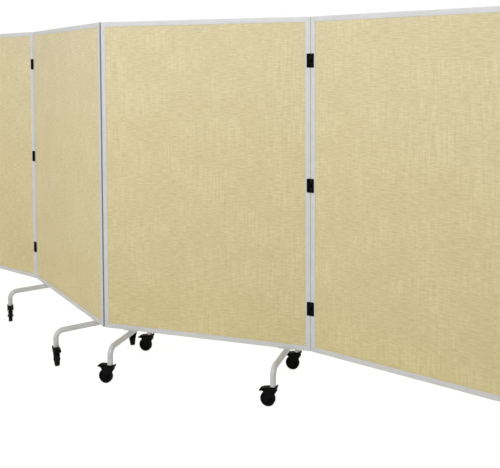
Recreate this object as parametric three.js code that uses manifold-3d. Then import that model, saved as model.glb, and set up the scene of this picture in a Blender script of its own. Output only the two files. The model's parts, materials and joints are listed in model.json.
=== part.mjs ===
// Rolling partition: four fabric boards in metal frames, folded in a zigzag on black hinges.
// The two middle panels stand on bent-tube legs with braked swivel casters; the outer two are wings.
// Millimetres. +X along the screen, -Y towards its front, +Z up; z = 0 is the floor.

import * as THREE from "three";
import { mergeVertices } from "three/addons/utils/BufferGeometryUtils.js";
import Module from "manifold-3d";

const wasm = await Module();
wasm.setup();

// ---- Driving dimensions -------------------------------------------------------------------------

const fit = 0.3; // gap between pieces that touch, and running clearance on pins
const fused = 0.2; // depth by which welded or moulded features sink into each other

// Panels
const panelWidth = 1270;
const panelHeight = 1829;
const floorGap = 220; // floor to the underside of a panel
const stileGap = 1; // between two neighbouring panels laid flat

// Frame channel
const frameFace = 28; // width seen from the front
const frameDepth = 16; // front face to back face
const webWall = 1.8; // outer web of the channel
const stopRib = 2; // rib that the edge of the board stands on
const ribReach = 3.2; // how far a rib stands in from the lip
const boardGrip = 10; // how far the lips hold the board
const outerRound = 1.5; // rounding of the two outer edges
const keyArm = 45; // arm of the corner key in a mitred corner

// Board
const boardThickness = 12;

// Folds at rest
const wingFold = 19; // degrees between a wing and its neighbour, hollow to the front
const middleFold = 38; // degrees between the two middle panels, hollow to the back

// Hinges
const hingeHeight = 76;
const leafReach = 21; // pin axis to the outer edge of a leaf
const leafThickness = 2;
const leafCorner = 3;
const knuckleRadius = 3.2;
const pinRadius = 1.6;
const pinTip = 2; // height of the dome on a pin's end
const hingeInset = 236; // panel end to the middle of the outer hinges

// Legs
const tubeRadius = 16;
const tubeWall = 2;
const legReach = 252; // middle of the panel to the axis of a caster
const legBend = 45; // centreline radius of the two bends
const tubeFoot = 107; // floor to the open ends of the tube
const saddleLength = 90;
const saddlePlate = 3.2;
const socketLength = 32; // plug in the tube's end that takes the caster's stem
const leftLegInset = 170; // left end of a middle panel to its left leg
const rightLegInset = 143; // right end of a middle panel to its right leg

// Casters
const wheelRadius = 40;
const wheelWidth = 26;
const treadRound = 5;
const rimDepth = 9; // tread to the recessed web of the wheel
const webThickness = 10;
const hubRadius = 11;
const axleRadius = 4;
const trail = 28; // axle behind the swivel axis
const wheelSideGap = 1.5;
const cheekThickness = 3;
const cheekBoss = 9.5; // rounding of the cheeks about the axle
const axleHead = 2.4;
const axleHeadRadius = 7;
const crownFront = 19; // swivel axis to the crown's front edge
const crownBack = 38;
const crownUnder = 85;
const crownThickness = 4;
const racewayRadius = 17;
const racewayHeight = 9;
const collarRadius = 13;
const stemRadius = 5.5;
const stemReach = 28; // how far the stem goes up into its socket

// Brake rocker, heights over the floor with the brake released
const pivotBehind = 5; // rocker pivot behind the swivel axis
const pivotHeight = 88;
const pivotRadius = 3;
const armThickness = 3;
const skirtHeight = 79; // lower edge of the arms
const skirtBack = 45; // swivel axis to the back end of that edge
const hoodTop = 105;
const hoodThickness = 3;
const hoodFront = 14; // swivel axis to the hood's front edge
const hoodBack = 52; // where the hood starts to fall to the pedal
const pedalReach = 72; // swivel axis to the tip of the pedal
const pedalTip = 98;
const pedalThickness = 5;
const tabAhead = 26; // release tab in front of the swivel axis
const tabTop = 107;
const tabRoot = 92;
const tabThickness = 4;
const shoeFrom = 112; // the brake shoe's stretch of tread, in degrees about the axle
const shoeTo = 124;
const brakeTravel = 10; // degrees from released to locked

// How each caster stands at rest: where its wheel trails, in degrees from its panel's +x towards
// the back, and whether its brake is locked.
const castersAtRest = {
  a_front: { heading: -15, locked: false },
  a_back: { heading: -15, locked: false },
  b_front: { heading: -11, locked: false },
  b_back: { heading: 164.5, locked: false },
  c_front: { heading: 180, locked: false },
  c_back: { heading: 180, locked: true },
  d_front: { heading: 180, locked: true },
  d_back: { heading: 180, locked: true },
};

// Facets
const roundSides = 10;
const tubeSides = 10;
const hingeSides = 8;
const wheelSides = 16;
const bendSteps = 3;

// ---- Sizes that follow --------------------------------------------------------------------------

const pinProud = knuckleRadius + fit; // pin axis in front of the panel's face
const boardInset = frameFace - boardGrip + fit; // panel end to the edge of the board
const lipWall = (frameDepth - boardThickness) / 2 - fit;
const keyDepth = frameFace - boardGrip - stopRib; // room for a key behind the ribs
const panelTop = floorGap + panelHeight;
const crossbarHeight = floorGap - fit - saddlePlate - tubeRadius + fused; // centreline
const axleHeight = wheelRadius;
const cheekInside = wheelWidth / 2 + wheelSideGap;
const cheekOutside = cheekInside + cheekThickness;
const crownTop = crownUnder + crownThickness;
const armInside = cheekOutside + fit;
const armOutside = armInside + armThickness;

// ---- Materials ----------------------------------------------------------------------------------

const finish = (color, roughness, metalness) => () =>
  new THREE.MeshStandardMaterial({ color, roughness, metalness });
const strawFabric = finish(0xcdbf8c, 0.95, 0);
const silverPaint = finish(0xc6c8ca, 0.4, 0.35);
const greyTube = finish(0xaeb1b5, 0.38, 0.4);
const blackSteel = finish(0x151515, 0.45, 0.3);
const blackMoulding = finish(0x121213, 0.55, 0);
const blackTread = finish(0x1a1a1b, 0.8, 0);

// ---- Solids -------------------------------------------------------------------------------------

function solidOf(geometry) {
  const bare = geometry.clone();
  bare.deleteAttribute("normal");
  bare.deleteAttribute("uv");
  const merged = mergeVertices(bare, 1e-4);
  const vertProperties = merged.attributes.position.array;
  const triVerts = new Uint32Array(merged.index.array);
  return new wasm.Manifold(new wasm.Mesh({ numProp: 3, vertProperties, triVerts }));
}

function geometryOf(solid) {
  const { vertProperties, triVerts } = solid.getMesh();
  return new THREE.BufferGeometry()
    .setAttribute("position", new THREE.BufferAttribute(vertProperties, 3))
    .setIndex(new THREE.BufferAttribute(triVerts, 1));
}

const join = (...solids) => solids.reduce((whole, piece) => whole.add(piece));
const cut = (solid, ...tools) => tools.reduce((whole, tool) => whole.subtract(tool), solid);

function meshOf(name, solid, material) {
  const mesh = new THREE.Mesh(geometryOf(solid), material());
  mesh.geometry.computeVertexNormals();
  mesh.name = name;
  return mesh;
}

function box(x0, x1, y0, y1, z0, z1) {
  const block = new THREE.BoxGeometry(x1 - x0, y1 - y0, z1 - z0);
  return solidOf(block.translate((x0 + x1) / 2, (y0 + y1) / 2, (z0 + z1) / 2));
}

// A shape drawn in x and z, carried along y from y0 to y1.
function slab(shape, y0, y1, curveSegments = 2) {
  const flat = new THREE.ExtrudeGeometry(shape, {
    depth: y1 - y0,
    bevelEnabled: false,
    curveSegments,
  });
  return solidOf(flat.rotateX(Math.PI / 2).translate(0, y1, 0));
}

// A round bar about z, or about y through the point (x, z).
function barZ(radius, z0, z1, sides = roundSides) {
  const bar = new THREE.CylinderGeometry(radius, radius, z1 - z0, sides);
  return solidOf(bar.rotateX(Math.PI / 2).translate(0, 0, (z0 + z1) / 2));
}

function barY(radius, x, z, y0, y1, sides = roundSides) {
  const bar = new THREE.CylinderGeometry(radius, radius, y1 - y0, sides);
  return solidOf(bar.translate(x, (y0 + y1) / 2, z));
}

// A profile of [radius, height] pairs turned about z.
function turned(profile, sides = roundSides) {
  const points = profile.map(([radius, height]) => new THREE.Vector2(radius, height));
  return solidOf(new THREE.LatheGeometry(points, sides).rotateX(Math.PI / 2));
}

// ---- Panel --------------------------------------------------------------------------------------

// Section of the frame channel: x through the panel's depth, y inwards from its outer edge.
function channelSection() {
  const shape = new THREE.Shape();
  const back = frameDepth;
  const ribOuter = keyDepth;
  const ribInner = keyDepth + stopRib;
  shape.moveTo(outerRound, 0);
  shape.lineTo(back - outerRound, 0);
  shape.absarc(back - outerRound, outerRound, outerRound, -Math.PI / 2, 0);
  shape.lineTo(back, frameFace);
  shape.lineTo(back - lipWall, frameFace);
  shape.lineTo(back - lipWall, ribInner);
  shape.lineTo(back - lipWall - ribReach, ribInner);
  shape.lineTo(back - lipWall - ribReach, ribOuter);
  shape.lineTo(back - lipWall, ribOuter);
  shape.lineTo(back - lipWall, webWall);
  shape.lineTo(lipWall, webWall);
  shape.lineTo(lipWall, ribOuter);
  shape.lineTo(lipWall + ribReach, ribOuter);
  shape.lineTo(lipWall + ribReach, ribInner);
  shape.lineTo(lipWall, ribInner);
  shape.lineTo(lipWall, frameFace);
  shape.lineTo(0, frameFace);
  shape.absarc(outerRound, outerRound, outerRound, Math.PI, Math.PI * 1.5);
  return shape;
}

// A length of channel along x, its web below, both ends mitred: each point of an end moves in by
// its own distance from the outer edge, and by half the gap that the joint keeps.
function channel(length) {
  const section = { depth: length, bevelEnabled: false, curveSegments: 1 };
  const bar = new THREE.ExtrudeGeometry(channelSection(), section);
  const place = bar.attributes.position;
  for (let i = 0; i < place.count; i++) {
    const inwards = place.getY(i) + (fit / 2) * Math.SQRT2;
    place.setZ(i, place.getZ(i) < length / 2 ? inwards : length - inwards);
  }
  const [x, y, z] = [0, 1, 2].map((axis) => new THREE.Vector3().setComponent(axis, 1));
  return solidOf(bar.applyMatrix4(new THREE.Matrix4().makeBasis(y, z, x)));
}

// A side of the frame: the channel turned about y by quarter turns and moved to its corner.
function side(length, quarterTurns, x, z) {
  return channel(length).rotate([0, 90 * quarterTurns, 0]).translate([x, 0, z]);
}

// The angle piece that holds a lower corner together, inside the two channels.
function cornerKey(x, inwards) {
  const near = webWall - fused;
  const far = keyDepth - fit;
  const shape = new THREE.Shape();
  shape.moveTo(x + inwards * near, floorGap + near);
  shape.lineTo(x + inwards * (near + keyArm), floorGap + near);
  shape.lineTo(x + inwards * (near + keyArm), floorGap + far);
  shape.lineTo(x + inwards * far, floorGap + far);
  shape.lineTo(x + inwards * far, floorGap + near + keyArm);
  shape.lineTo(x + inwards * near, floorGap + near + keyArm);
  return slab(shape, lipWall - fused, frameDepth - lipWall + fused);
}

function frameSolid() {
  return join(
    side(panelHeight, 1, 0, panelTop),
    side(panelWidth, 0, 0, floorGap),
    side(panelHeight, -1, panelWidth, floorGap),
    cornerKey(0, 1),
    cornerKey(panelWidth, -1),
  );
}

function boardSolid() {
  const face = (frameDepth - boardThickness) / 2;
  return box(
    boardInset,
    panelWidth - boardInset,
    face,
    face + boardThickness,
    floorGap + boardInset,
    panelTop - boardInset,
  );
}

// A panel stands at x = 0 to its width, its front face at y = 0.
function makePanel(number) {
  const panel = new THREE.Group();
  panel.add(meshOf(`board_${number}`, boardSolid(), strawFabric));
  panel.add(meshOf(`frame_${number}`, frameSolid(), silverPaint));
  const cap = side(panelWidth, 2, panelWidth, panelTop);
  panel.add(meshOf(`top_rail_${number}`, cap, silverPaint));
  return panel;
}

// ---- Hinges -------------------------------------------------------------------------------------

const knuckleEnd = hingeHeight / 2;
const knuckleMeet = hingeHeight / 6; // where the middle knuckle meets the outer ones

// A leaf lies along +x from the pin axis, its back to a panel's face on the +y side. Its inner edge
// stands clear of the other leaf's knuckles and reaches its own.
function leafPlate(ownsMiddle) {
  const clear = knuckleRadius + 2 * fit;
  const meet = knuckleMeet + (ownsMiddle ? -fit / 2 : fit / 2);
  const ends = ownsMiddle ? clear : 0;
  const middle = ownsMiddle ? 0 : clear;
  const shape = new THREE.Shape();
  shape.moveTo(ends, -knuckleEnd);
  shape.lineTo(leafReach - leafCorner, -knuckleEnd);
  shape.absarc(leafReach - leafCorner, leafCorner - knuckleEnd, leafCorner, -Math.PI / 2, 0);
  shape.lineTo(leafReach, knuckleEnd - leafCorner);
  shape.absarc(leafReach - leafCorner, knuckleEnd - leafCorner, leafCorner, 0, Math.PI / 2);
  shape.lineTo(ends, knuckleEnd);
  shape.lineTo(ends, meet);
  shape.lineTo(middle, meet);
  shape.lineTo(middle, -meet);
  shape.lineTo(ends, -meet);
  return slab(shape, knuckleRadius - leafThickness, knuckleRadius, 1);
}

function pinLeaf() {
  const knuckle = knuckleMeet + fit / 2;
  const tip = knuckleEnd + pinTip;
  const half = [
    [pinRadius, knuckle],
    [knuckleRadius, knuckle],
    [knuckleRadius, knuckleEnd],
    [pinRadius, knuckleEnd],
    [0, tip],
  ];
  const other = half.map(([radius, height]) => [radius, -height]).reverse();
  return join(leafPlate(false), turned([...other, ...half], hingeSides));
}

function socketLeaf() {
  const knuckle = knuckleMeet - fit / 2;
  const barrel = barZ(knuckleRadius, -knuckle, knuckle, hingeSides);
  const bore = barZ(pinRadius + fit, -hingeHeight, hingeHeight, hingeSides);
  return cut(join(leafPlate(true), barrel), bore);
}

const leafKinds = { pin_leaf: pinLeaf(), socket_leaf: socketLeaf() };

// Leaves of one fold on one panel. endX is the panel's end, inwards the way into the panel, and
// onBack says which face they are screwed to. Half a turn brings a leaf to its end and face.
function addLeaves(panel, fold, kind, endX, inwards, onBack) {
  const backTurn = inwards > 0 ? "x" : "z";
  const y = onBack ? frameDepth + pinProud : -pinProud;
  const heights = {
    low: floorGap + hingeInset,
    middle: (floorGap + panelTop) / 2,
    top: panelTop - hingeInset,
  };
  for (const [level, height] of Object.entries(heights)) {
    const leaf = meshOf(`hinge_${fold}_${level}_${kind}`, leafKinds[kind], blackSteel);
    if (onBack || inwards < 0) leaf.rotation[onBack ? backTurn : "y"] = Math.PI;
    leaf.position.set(endX - (inwards * stileGap) / 2, y, height);
    panel.add(leaf);
  }
}

// ---- Legs ---------------------------------------------------------------------------------------

// Centreline of a leg in the plane x = 0: up the front stem, round a bend, across under the panel,
// round the other bend and down. Each straight run is one step, each bend bendSteps.
class LegPath extends THREE.Curve {
  constructor(foot) {
    super();
    this.foot = foot;
    this.steps = 2 * bendSteps + 3;
  }

  place(u) {
    const half = this.steps / 2;
    const step = u * this.steps;
    const along = step <= half ? step : this.steps - step; // the far half mirrors the near one
    const sign = step <= half ? -1 : 1;
    const turn = THREE.MathUtils.clamp((along - 1) / bendSteps, 0, 1) * (Math.PI / 2);
    const rise = Math.min(along, 1);
    const across = Math.max(along - 1 - bendSteps, 0) * 2 * (legReach - legBend);
    const low = this.foot + (crossbarHeight - legBend - this.foot) * rise;
    const y = legReach - legBend * (1 - Math.cos(turn)) - across;
    return {
      point: new THREE.Vector3(0, sign * y, low + legBend * Math.sin(turn)),
      tangent: new THREE.Vector3(0, Math.sin(turn), -sign * Math.cos(turn)),
    };
  }

  getPointAt(u, target = new THREE.Vector3()) {
    return target.copy(this.place(u).point);
  }

  getTangentAt(u, target = new THREE.Vector3()) {
    return target.copy(this.place(u).tangent);
  }
}

function bentBar(radius, foot) {
  const path = new LegPath(foot);
  const section = new THREE.Shape().absarc(0, 0, radius, 0, 2 * Math.PI);
  return solidOf(
    new THREE.ExtrudeGeometry(section, {
      steps: path.steps,
      curveSegments: tubeSides / 2,
      extrudePath: path,
    }),
  );
}

// A leg: the bent tube, the plate welded on it under the panel, and a bored plug in each end.
function legSolid() {
  const tube = cut(
    bentBar(tubeRadius, tubeFoot),
    bentBar(tubeRadius - tubeWall, tubeFoot + socketLength),
  );
  const plateTop = floorGap - fit;
  const saddle = box(
    -saddleLength / 2,
    saddleLength / 2,
    -frameDepth / 2,
    frameDepth / 2,
    plateTop - saddlePlate - fused,
    plateTop,
  );
  const bore = barZ(stemRadius + fit, tubeFoot - 1, tubeFoot + socketLength + 1);
  const bores = [-legReach, legReach].map((y) => bore.translate([0, y, 0]));
  return cut(join(tube, saddle), ...bores);
}

// ---- Casters ------------------------------------------------------------------------------------

// A caster's frame has the swivel axis on z and its wheel trailing towards -x.

// The cheek: wide under the crown, swept back and down to a round boss about the axle.
function cheekShape() {
  const shape = new THREE.Shape();
  shape.moveTo(crownFront, crownTop);
  shape.lineTo(-crownBack, crownTop);
  shape.lineTo(-crownBack, crownUnder - 4);
  shape.quadraticCurveTo(-trail - cheekBoss - 1, 62, -trail - cheekBoss, axleHeight);
  shape.absarc(-trail, axleHeight, cheekBoss, Math.PI, Math.PI * 1.82);
  shape.quadraticCurveTo(crownFront - 14, 58, crownFront, crownUnder - 6);
  return shape;
}

function crownShape() {
  const half = cheekOutside;
  const shape = new THREE.Shape();
  shape.moveTo(-crownBack, -half);
  shape.lineTo(crownFront - half / 2, -half);
  shape.quadraticCurveTo(crownFront + 2, -half, crownFront + 2, 0);
  shape.quadraticCurveTo(crownFront + 2, half, crownFront - half / 2, half);
  shape.lineTo(-crownBack, half);
  return shape;
}

function forkSolid() {
  const crown = new THREE.ExtrudeGeometry(crownShape(), {
    depth: crownThickness,
    bevelEnabled: false,
    curveSegments: 3,
  });
  const racewayTop = crownTop + racewayHeight;
  const head = turned([
    [0, crownTop - fused],
    [racewayRadius, crownTop - fused],
    [racewayRadius, racewayTop - 3],
    [collarRadius, racewayTop],
    [collarRadius, tubeFoot - fit],
    [stemRadius, tubeFoot - fit],
    [stemRadius, tubeFoot + stemReach],
    [0, tubeFoot + stemReach],
  ]);
  const cheek = cheekShape();
  return join(
    solidOf(crown.translate(0, 0, crownUnder)),
    slab(cheek, cheekInside, cheekOutside, 3),
    slab(cheek, -cheekOutside, -cheekInside, 3),
    head,
    barY(axleRadius, -trail, axleHeight, -cheekOutside, cheekOutside, 8),
    barY(axleHeadRadius, -trail, axleHeight, cheekOutside - fused, cheekOutside + axleHead, 6),
    barY(axleHeadRadius, -trail, axleHeight, -cheekOutside - axleHead, fused - cheekOutside, 6),
    barY(pivotRadius, -pivotBehind, pivotHeight, -armOutside, armOutside, 8),
  );
}

// The wheel turns about y: tread with rounded shoulders, recessed web and a hub with its bore.
function wheelSolid() {
  const half = wheelWidth / 2;
  const rim = wheelRadius - rimDepth;
  const side = [
    [axleRadius + fit, half],
    [hubRadius, half],
    [hubRadius + 1, webThickness / 2],
    [rim, webThickness / 2],
    [rim + 1.5, half],
    [wheelRadius - treadRound / 2, half],
    [wheelRadius, half - treadRound],
  ];
  const near = side.map(([radius, height]) => new THREE.Vector2(radius, -height));
  const far = side.map(([radius, height]) => new THREE.Vector2(radius, height));
  const ring = new THREE.LatheGeometry([...near, ...far.reverse(), near[0]], wheelSides);
  return solidOf(ring.translate(-trail, 0, axleHeight));
}

// Side view of the rocker, released: pedal and hood behind the stem, release tab in front of it.
function armShape() {
  const shape = new THREE.Shape();
  shape.moveTo(-pedalReach + 2, pedalTip - pedalThickness);
  shape.quadraticCurveTo(-hoodBack, pedalTip - pedalThickness, -skirtBack, skirtHeight);
  shape.lineTo(tabAhead / 2, skirtHeight);
  shape.quadraticCurveTo(tabAhead - 6, skirtHeight + 3, tabAhead + 1, tabTop - 5);
  shape.lineTo(tabAhead - 1, tabTop);
  shape.lineTo(tabAhead - tabThickness - 1, tabTop - 1);
  shape.quadraticCurveTo(tabAhead / 2, crownTop + racewayHeight, 0, crownTop + racewayHeight);
  shape.lineTo(-hoodFront, hoodTop);
  shape.lineTo(-hoodBack, hoodTop);
  shape.quadraticCurveTo(-pedalReach + 8, hoodTop, -pedalReach, pedalTip);
  return shape;
}

// The plate across both arms: level over the crown, then falling and thickening to the pedal's tip.
function hoodShape() {
  const under = hoodTop - hoodThickness;
  const shape = new THREE.Shape();
  shape.moveTo(-hoodFront, under);
  shape.lineTo(-hoodFront, hoodTop);
  shape.lineTo(-hoodBack, hoodTop);
  shape.quadraticCurveTo(-pedalReach + 8, hoodTop, -pedalReach, pedalTip);
  shape.lineTo(-pedalReach + 2, pedalTip - pedalThickness);
  shape.quadraticCurveTo(-pedalReach + 10, under - 2, -hoodBack, under);
  return shape;
}

// The release tab joins the arms in front of the raceway.
function tabShape() {
  const shape = new THREE.Shape();
  shape.moveTo(tabAhead - tabThickness - 2, tabRoot);
  shape.lineTo(tabAhead - 3, tabRoot);
  shape.lineTo(tabAhead + 1, tabTop - 5);
  shape.lineTo(tabAhead - 1, tabTop);
  shape.lineTo(tabAhead - tabThickness - 1, tabTop - 1);
  return shape;
}

// The shoe's sole lies along the tread, one running gap clear of it, when the brake is locked.
function shoeShape() {
  const axle = new THREE.Vector2(-trail, axleHeight);
  const pivot = new THREE.Vector2(-pivotBehind, pivotHeight);
  const sole = [shoeTo, shoeFrom].map((degrees) => {
    const onTread = new THREE.Vector2(wheelRadius + fit, 0).add(axle);
    onTread.rotateAround(axle, THREE.MathUtils.degToRad(degrees));
    return onTread.rotateAround(pivot, -THREE.MathUtils.degToRad(brakeTravel));
  });
  const root = hoodTop - hoodThickness + fused;
  const top = [sole[1].x, sole[0].x].map((x) => new THREE.Vector2(x, root));
  return new THREE.Shape([...sole, ...top]);
}

// The rocker, with its pivot at the origin.
function brakeSolid() {
  const arm = armShape();
  const shoeHalf = wheelWidth / 2 - 2;
  const rocker = join(
    slab(arm, armInside, armOutside),
    slab(arm, -armOutside, -armInside),
    slab(hoodShape(), -armOutside, armOutside),
    slab(tabShape(), -armOutside, armOutside),
    slab(shoeShape(), -shoeHalf, shoeHalf),
  );
  const hole = barY(pivotRadius + fit, -pivotBehind, pivotHeight, -wheelWidth, wheelWidth, 8);
  return cut(rocker, hole).translate([pivotBehind, 0, -pivotHeight]);
}

const casterSolids = { fork: forkSolid(), wheel: wheelSolid(), brake: brakeSolid() };
const legOnly = legSolid();

// A caster under one end of a leg. The frame of its pieces trails towards -x.
function makeCaster(name) {
  const { heading, locked } = castersAtRest[name];
  const caster = new THREE.Group();
  caster.rotation.z = THREE.MathUtils.degToRad(heading - 180);
  const brake = meshOf(`brake_${name}`, casterSolids.brake, blackMoulding);
  brake.position.set(-pivotBehind, 0, pivotHeight);
  brake.rotation.y = locked ? -THREE.MathUtils.degToRad(brakeTravel) : 0;
  caster.add(
    meshOf(`fork_${name}`, casterSolids.fork, blackMoulding),
    meshOf(`wheel_${name}`, casterSolids.wheel, blackTread),
    brake,
  );
  return caster;
}

function addLeg(panel, name, x) {
  const leg = new THREE.Group();
  leg.position.set(x, frameDepth / 2, 0);
  leg.add(meshOf(`leg_${name}`, legOnly, greyTube));
  for (const [end, y] of [["front", -legReach], ["back", legReach]]) {
    const caster = makeCaster(`${name}_${end}`);
    caster.position.y = y;
    leg.add(caster);
  }
  panel.add(leg);
}

// ---- The screen ---------------------------------------------------------------------------------

const panels = [1, 2, 3, 4].map(makePanel);
const headings = [
  wingFold - middleFold / 2,
  -middleFold / 2,
  middleFold / 2,
  middleFold / 2 - wingFold,
].map(THREE.MathUtils.degToRad);

// Pin axes as seen from the panel on each side of a fold.
const frontPin = -pinProud;
const backPin = frameDepth + pinProud;
const rightPin = (y) => new THREE.Vector3(panelWidth + stileGap / 2, y, 0);
const leftPin = (y) => new THREE.Vector3(-stileGap / 2, y, 0);

// Turns a panel to its heading and sets it down with its pin on the given point.
function standAt(panel, heading, pin, point) {
  panel.rotation.z = heading;
  panel.position.copy(point).sub(pin.applyEuler(panel.rotation));
  panel.updateMatrix();
}

const [leftWing, leftMiddle, rightMiddle, rightWing] = panels;
const apex = new THREE.Vector3();
standAt(leftMiddle, headings[1], rightPin(backPin), apex);
standAt(rightMiddle, headings[2], leftPin(backPin), apex);
const leftFold = leftPin(frontPin).applyMatrix4(leftMiddle.matrix);
const rightFold = rightPin(frontPin).applyMatrix4(rightMiddle.matrix);
standAt(leftWing, headings[0], rightPin(frontPin), leftFold);
standAt(rightWing, headings[3], leftPin(frontPin), rightFold);

addLeaves(leftWing, "left", "pin_leaf", panelWidth, -1, false);
addLeaves(leftMiddle, "left", "socket_leaf", 0, 1, false);
addLeaves(leftMiddle, "centre", "pin_leaf", panelWidth, -1, true);
addLeaves(rightMiddle, "centre", "socket_leaf", 0, 1, true);
addLeaves(rightMiddle, "right", "pin_leaf", panelWidth, -1, false);
addLeaves(rightWing, "right", "socket_leaf", 0, 1, false);

addLeg(leftMiddle, "a", leftLegInset);
addLeg(leftMiddle, "b", panelWidth - rightLegInset);
addLeg(rightMiddle, "c", leftLegInset);
addLeg(rightMiddle, "d", panelWidth - rightLegInset);

// The origin lies on the floor under the middle of the whole screen.
const screen = new THREE.Group();
screen.add(...panels);
const extent = new THREE.Box3().setFromObject(screen, true);
const middle = extent.getCenter(new THREE.Vector3());
screen.position.set(-middle.x, -middle.y, 0);

const partition = new THREE.Group();
partition.add(screen);
export default partition;
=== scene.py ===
"""Folding screen on wheels: the looks of every piece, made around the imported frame.

Each panel, leg, hinge and caster is drawn in a place of its own, with x along its width, y to its
back and z up, and then carried to where the frame holds that piece. All lengths are in metres.
"""

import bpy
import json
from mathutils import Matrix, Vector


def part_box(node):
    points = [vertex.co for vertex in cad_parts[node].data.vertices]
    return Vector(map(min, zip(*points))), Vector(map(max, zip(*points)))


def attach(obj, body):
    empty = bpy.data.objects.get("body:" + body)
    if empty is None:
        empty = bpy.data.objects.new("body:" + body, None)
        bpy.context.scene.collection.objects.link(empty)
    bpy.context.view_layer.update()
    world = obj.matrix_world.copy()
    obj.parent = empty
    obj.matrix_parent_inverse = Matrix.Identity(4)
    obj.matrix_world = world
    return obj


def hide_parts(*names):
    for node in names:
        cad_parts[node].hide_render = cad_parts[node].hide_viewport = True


bl_info = {
    "name": "Rolling Partition",
    "version": (1, 0, 0),
    "blender": (4, 5, 0),
    "location": "3D View > Sidebar > Partition",
    "description": "Builds a folding fabric screen on bent-tube legs with braked casters",
    "category": "Object",
}

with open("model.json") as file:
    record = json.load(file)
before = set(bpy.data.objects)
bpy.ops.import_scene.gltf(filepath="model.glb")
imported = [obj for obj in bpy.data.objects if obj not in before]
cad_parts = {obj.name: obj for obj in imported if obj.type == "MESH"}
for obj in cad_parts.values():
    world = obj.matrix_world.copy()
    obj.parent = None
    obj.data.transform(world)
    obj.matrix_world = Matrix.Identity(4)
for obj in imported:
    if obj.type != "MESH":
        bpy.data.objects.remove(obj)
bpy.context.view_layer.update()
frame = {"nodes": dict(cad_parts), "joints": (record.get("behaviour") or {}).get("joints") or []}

import json
import math

import bpy
import numpy as np
from bpy.props import FloatProperty, FloatVectorProperty, IntProperty, PointerProperty
from mathutils import Matrix

joints = {joint["name"]: joint for joint in frame["joints"]}

PANELS = (1, 2, 3, 4)
# Each leg and the panel that it carries.
LEGS = {"a": 2, "b": 2, "c": 3, "d": 3}
ENDS = ("front", "back")
CASTERS = [f"{leg}_{end}" for leg in LEGS for end in ENDS]
LEVELS = ("low", "middle", "top")
# Each fold: the panel with the pin leaves, the panel with the socket leaves, and whether the
# hinges are screwed to the backs.
FOLDS = {"left": (1, 2, False), "centre": (2, 3, True), "right": (3, 4, False)}
# Each lamp: where it stands, where it points, its width and height, and its tint.
LAMPS = {
    "key": ((2.0, -4.6, 4.6), (0.3, 0.0, 1.5), (3.4, 1.6), (0.98, 0.99, 1.0)),
    "fill": ((-3.6, -4.2, 2.2), (-0.6, 0.0, 1.1), (2.6, 2.0), (1.0, 0.97, 0.93)),
    "rear": ((0.0, 4.6, 4.0), (0.0, 0.0, 1.2), (4.0, 2.0), (1.0, 1.0, 1.0)),
}
WHITE = (1.0, 1.0, 1.0, 1.0)

HAIR = 1e-5  # points nearer than this count as one
SLIVER = 0.0001  # keeps two faces from lying in one plane
SHARP = math.radians(32)  # edges that bend by more stay sharp
BOARD_GRID = (64, 300)  # columns and rows of points on a fabric face


# ---- Settings ----


def measure(name, description, default, unit="LENGTH"):
    return FloatProperty(name=name, description=description, default=default, unit=unit)


def colour(name, description, default):
    return FloatVectorProperty(
        name=name, description=description, default=default, subtype="COLOR", min=0, max=1
    )


class PanelSettings(bpy.types.PropertyGroup):
    edge_round: measure("Edge rounding", "Radius of the frame's outer edges", 0.0010)
    lip_round: measure("Lip rounding", "Radius of the lips that hold the board", 0.0006)
    lip_wall: measure("Lip wall", "Thickness of the two lips", 0.0017)
    web_wall: measure("Web wall", "Thickness of the frame's outer web", 0.0018)
    face_width: measure("Face width", "Width of the frame seen from the front", 0.028)
    mitre_gap: measure("Mitre gap", "Gap left at each end of a length of channel", 0.00015)
    slub_height: measure("Slub height", "How far a thick thread stands out", 0.0003)
    slub_count: IntProperty(name="Slubs", description="Thick threads on a face", default=260)
    crown: measure("Crown", "Swell of the fabric face between its edges", 0.0004)
    screw_radius: measure("Screw radius", "Radius of a corner screw's head", 0.003)


class HingeSettings(bpy.types.PropertyGroup):
    leaf_thickness: measure("Leaf thickness", "Thickness of a hinge leaf", 0.002)
    corner_round: measure("Corner rounding", "Radius of a leaf's outer corners", 0.003)
    edge_round: measure("Edge rounding", "Radius of a leaf's edges", 0.0004)
    knuckle_gap: measure("Knuckle gap", "Half of the gap between two knuckles", 0.00015)
    pin_radius: measure("Pin radius", "Radius of the hinge pin", 0.0016)
    screw_radius: measure("Screw radius", "Radius of a countersunk screw head", 0.0034)


class LegSettings(bpy.types.PropertyGroup):
    tube_radius: measure("Tube radius", "Outer radius of the leg tube", 0.016)
    tube_wall: measure("Tube wall", "Wall of the leg tube", 0.002)
    bend_radius: measure("Bend radius", "Centreline radius of the two bends", 0.045)
    saddle_length: measure("Saddle length", "Length of the plate under the panel", 0.090)
    saddle_plate: measure("Saddle plate", "Thickness of that plate", 0.0032)
    screw_radius: measure("Screw radius", "Radius of a saddle screw's head", 0.0042)
    bead_radius: measure("Weld bead", "Radius of the weld bead", 0.0022)


class CasterSettings(bpy.types.PropertyGroup):
    wheel_radius: measure("Wheel radius", "Radius of the tread", 0.040)
    wheel_width: measure("Wheel width", "Width of the tread", 0.026)
    wheel_gap: measure("Wheel gap", "Gap between the wheel and a fork cheek", 0.0015)
    tread_round: measure("Tread rounding", "Radius of the tread's shoulders", 0.005)
    hub_radius: measure("Hub radius", "Radius of the wheel's hub", 0.011)
    bore_radius: measure("Bore radius", "Radius of the wheel's bore", 0.0043)
    cheek: measure("Cheek", "Thickness of a fork cheek and a brake arm", 0.003)
    brake_gap: measure("Brake gap", "Gap between the brake and the fork or tread", 0.0003)
    edge_round: measure("Edge rounding", "Radius of the moulded edges", 0.0008)
    ribs: IntProperty(name="Ribs", description="Ribs on each side of the wheel", default=10)


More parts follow.
